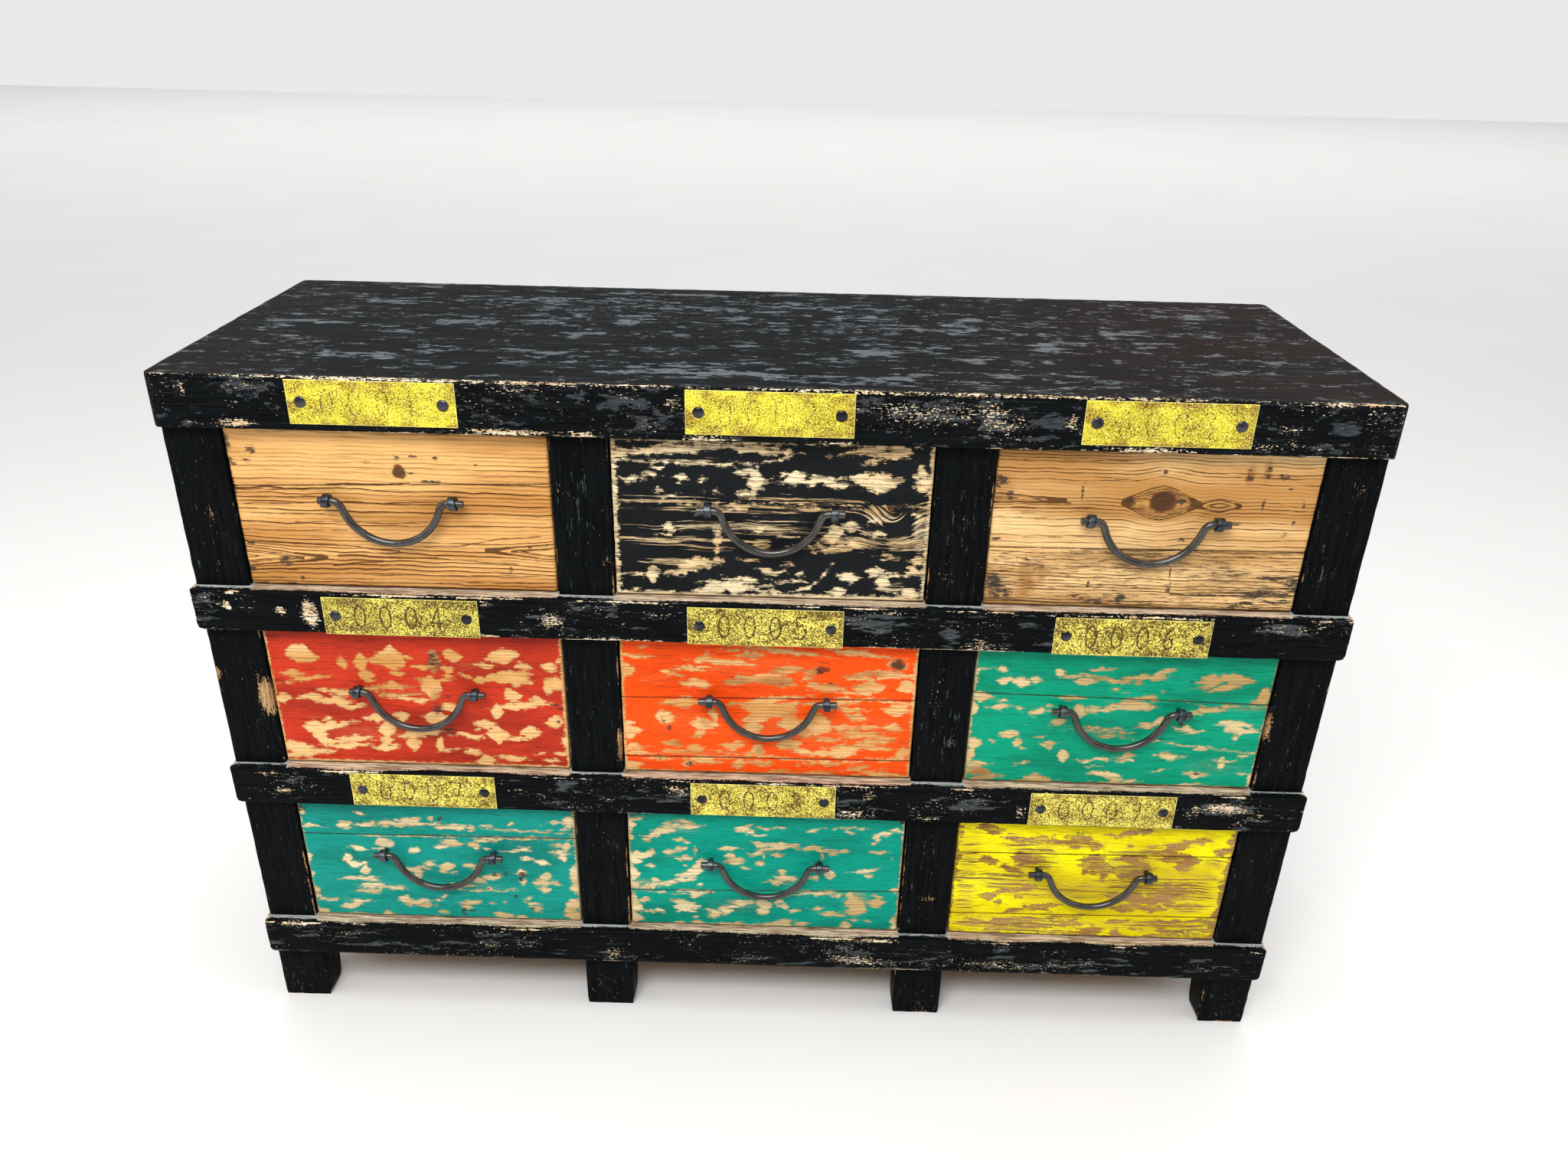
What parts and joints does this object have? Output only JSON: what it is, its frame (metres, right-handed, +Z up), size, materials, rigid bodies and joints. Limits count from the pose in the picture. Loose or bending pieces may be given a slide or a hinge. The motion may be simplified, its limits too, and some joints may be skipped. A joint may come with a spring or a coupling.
{
  "type": "multi-drawer sideboard",
  "caption": "Rustic pine sideboard: a thick top on a lapped frame of posts and proud rails, with rows of sliding drawers that have swinging bail handles.",
  "frame": {"origin": "on the floor, under the centre of the bounding box", "axes": "+Z up, +X to the right seen from the front, the front faces -Y"},
  "size_m": [1.344, 0.46, 0.9],
  "materials": {
    "black_paint": "worn black paint, satin, rubbed through to raw pine at the edges",
    "raw_pine": "bare sawn pine",
    "pine_front": "waxed reclaimed pine",
    "black_front": "black paint scraped back to pine in patches",
    "knotty_pine_front": "waxed reclaimed pine with knots and a weathered lower board",
    "red_front": "dark red paint scraped back to pine in patches",
    "orange_front": "orange-red paint scraped back to pine in patches",
    "emerald_front": "emerald paint scraped back to pine in patches",
    "teal_front": "teal paint scraped back to pine in patches",
    "sea_green_front": "sea-green paint scraped back to pine in patches",
    "yellow_front": "yellow paint scraped back to pine in patches",
    "dark_iron": "dark waxed wrought iron"
  },
  "bodies": {
    "carcass": {"top_panel": "black_paint", "top_front_lip": "black_paint", "post_left": "black_paint", "post_inner_left": "black_paint", "post_inner_right": "black_paint", "post_right": "black_paint", "rail_upper": "black_paint", "rail_lower": "black_paint", "rail_base": "black_paint", "side_left": "black_paint", "side_right": "black_paint", "partition_left": "raw_pine", "partition_right": "raw_pine", "back_frame": "black_paint", "bottom_board": "raw_pine"},
    "drawer_bottom_left": {"drawer_bottom_left_front": "teal_front", "drawer_bottom_left_box": "raw_pine", "drawer_bottom_left_eye_left": "dark_iron", "drawer_bottom_left_eye_right": "dark_iron"},
    "bail_bottom_left": {"drawer_bottom_left_bail": "dark_iron"},
    "drawer_bottom_middle": {"drawer_bottom_middle_front": "sea_green_front", "drawer_bottom_middle_box": "raw_pine", "drawer_bottom_middle_eye_left": "dark_iron", "drawer_bottom_middle_eye_right": "dark_iron"},
    "bail_bottom_middle": {"drawer_bottom_middle_bail": "dark_iron"},
    "drawer_bottom_right": {"drawer_bottom_right_front": "yellow_front", "drawer_bottom_right_box": "raw_pine", "drawer_bottom_right_eye_left": "dark_iron", "drawer_bottom_right_eye_right": "dark_iron"},
    "bail_bottom_right": {"drawer_bottom_right_bail": "dark_iron"},
    "drawer_middle_left": {"drawer_middle_left_front": "red_front", "drawer_middle_left_box": "raw_pine", "drawer_middle_left_eye_left": "dark_iron", "drawer_middle_left_eye_right": "dark_iron"},
    "bail_middle_left": {"drawer_middle_left_bail": "dark_iron"},
    "drawer_middle_middle": {"drawer_middle_middle_front": "orange_front", "drawer_middle_middle_box": "raw_pine", "drawer_middle_middle_eye_left": "dark_iron", "drawer_middle_middle_eye_right": "dark_iron"},
    "bail_middle_middle": {"drawer_middle_middle_bail": "dark_iron"},
    "drawer_middle_right": {"drawer_middle_right_front": "emerald_front", "drawer_middle_right_box": "raw_pine", "drawer_middle_right_eye_left": "dark_iron", "drawer_middle_right_eye_right": "dark_iron"},
    "bail_middle_right": {"drawer_middle_right_bail": "dark_iron"},
    "drawer_top_left": {"drawer_top_left_front": "pine_front", "drawer_top_left_box": "raw_pine", "drawer_top_left_eye_left": "dark_iron", "drawer_top_left_eye_right": "dark_iron"},
    "bail_top_left": {"drawer_top_left_bail": "dark_iron"},
    "drawer_top_middle": {"drawer_top_middle_front": "black_front", "drawer_top_middle_box": "raw_pine", "drawer_top_middle_eye_left": "dark_iron", "drawer_top_middle_eye_right": "dark_iron"},
    "bail_top_middle": {"drawer_top_middle_bail": "dark_iron"},
    "drawer_top_right": {"drawer_top_right_front": "knotty_pine_front", "drawer_top_right_box": "raw_pine", "drawer_top_right_eye_left": "dark_iron", "drawer_top_right_eye_right": "dark_iron"},
    "bail_top_right": {"drawer_top_right_bail": "dark_iron"}
  },
  "joints": [
    {"name": "drawer_bottom_left_slide", "type": "slide", "parent": "carcass", "child": "drawer_bottom_left", "axis": [0, -1, 0], "range_m": [0, 0.3]},
    {"name": "bail_bottom_left_swing", "type": "hinge", "parent": "drawer_bottom_left", "child": "bail_bottom_left", "pos_m": [-0.426, -0.222, 0.25726], "axis": [-1, 0, 0], "range_deg": [-7, 172]},
    {"name": "drawer_bottom_middle_slide", "type": "slide", "parent": "carcass", "child": "drawer_bottom_middle", "axis": [0, -1, 0], "range_m": [0, 0.3]},
    {"name": "bail_bottom_middle_swing", "type": "hinge", "parent": "drawer_bottom_middle", "child": "bail_bottom_middle", "pos_m": [0, -0.222, 0.25726], "axis": [-1, 0, 0], "range_deg": [-7, 172]},
    {"name": "drawer_bottom_right_slide", "type": "slide", "parent": "carcass", "child": "drawer_bottom_right", "axis": [0, -1, 0], "range_m": [0, 0.3]},
    {"name": "bail_bottom_right_swing", "type": "hinge", "parent": "drawer_bottom_right", "child": "bail_bottom_right", "pos_m": [0.426, -0.222, 0.25726], "axis": [-1, 0, 0], "range_deg": [-7, 172]},
    {"name": "drawer_middle_left_slide", "type": "slide", "parent": "carcass", "child": "drawer_middle_left", "axis": [0, -1, 0], "range_m": [0, 0.3]},
    {"name": "bail_middle_left_swing", "type": "hinge", "parent": "drawer_middle_left", "child": "bail_middle_left", "pos_m": [-0.426, -0.222, 0.50676], "axis": [-1, 0, 0], "range_deg": [-7, 172]},
    {"name": "drawer_middle_middle_slide", "type": "slide", "parent": "carcass", "child": "drawer_middle_middle", "axis": [0, -1, 0], "range_m": [0, 0.3]},
    {"name": "bail_middle_middle_swing", "type": "hinge", "parent": "drawer_middle_middle", "child": "bail_middle_middle", "pos_m": [0, -0.222, 0.50676], "axis": [-1, 0, 0], "range_deg": [-7, 172]},
    {"name": "drawer_middle_right_slide", "type": "slide", "parent": "carcass", "child": "drawer_middle_right", "axis": [0, -1, 0], "range_m": [0, 0.3]},
    {"name": "bail_middle_right_swing", "type": "hinge", "parent": "drawer_middle_right", "child": "bail_middle_right", "pos_m": [0.426, -0.222, 0.50676], "axis": [-1, 0, 0], "range_deg": [-7, 172]},
    {"name": "drawer_top_left_slide", "type": "slide", "parent": "carcass", "child": "drawer_top_left", "axis": [0, -1, 0], "range_m": [0, 0.3]},
    {"name": "bail_top_left_swing", "type": "hinge", "parent": "drawer_top_left", "child": "bail_top_left", "pos_m": [-0.426, -0.222, 0.75626], "axis": [-1, 0, 0], "range_deg": [-7, 172]},
    {"name": "drawer_top_middle_slide", "type": "slide", "parent": "carcass", "child": "drawer_top_middle", "axis": [0, -1, 0], "range_m": [0, 0.3]},
    {"name": "bail_top_middle_swing", "type": "hinge", "parent": "drawer_top_middle", "child": "bail_top_middle", "pos_m": [0, -0.222, 0.75626], "axis": [-1, 0, 0], "range_deg": [-7, 172]},
    {"name": "drawer_top_right_slide", "type": "slide", "parent": "carcass", "child": "drawer_top_right", "axis": [0, -1, 0], "range_m": [0, 0.3]},
    {"name": "bail_top_right_swing", "type": "hinge", "parent": "drawer_top_right", "child": "bail_top_right", "pos_m": [0.426, -0.222, 0.75626], "axis": [-1, 0, 0], "range_deg": [-7, 172]}
  ]
}
